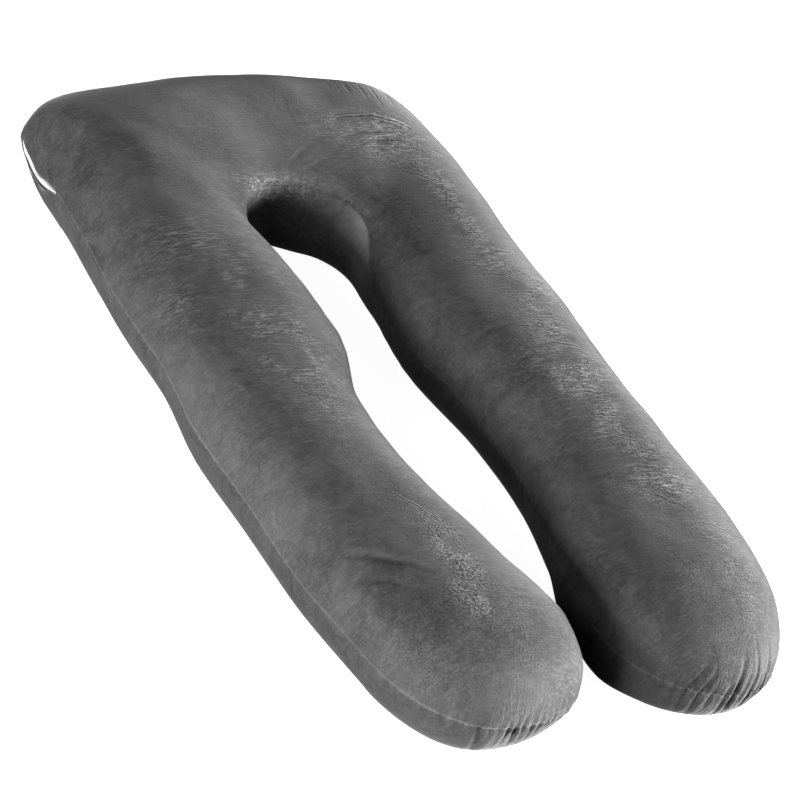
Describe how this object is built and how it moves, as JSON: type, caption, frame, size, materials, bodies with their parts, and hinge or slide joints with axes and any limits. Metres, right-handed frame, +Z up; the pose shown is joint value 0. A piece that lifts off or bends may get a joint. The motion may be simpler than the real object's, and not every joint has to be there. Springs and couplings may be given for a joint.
{
  "type": "u-shaped body pillow",
  "caption": "U-shaped full-length body pillow in dark grey plush velvet, with a seam round its middle and a small gap in the side seam.",
  "frame": {"origin": "middle of the pillow's bounding box on the surface it rests on", "axes": "+Y along the legs toward the head end, +X across from the left leg to the right one, +Z up from the surface"},
  "size_m": [0.785, 1.4137, 0.188],
  "materials": {
    "cover": "short brushed velvet pile, matte with a soft sheen",
    "casing": "smooth white woven casing, matte"
  },
  "bodies": {
    "root": {"pillow": "cover", "inner_casing": "casing"}
  },
  "joints": []
}
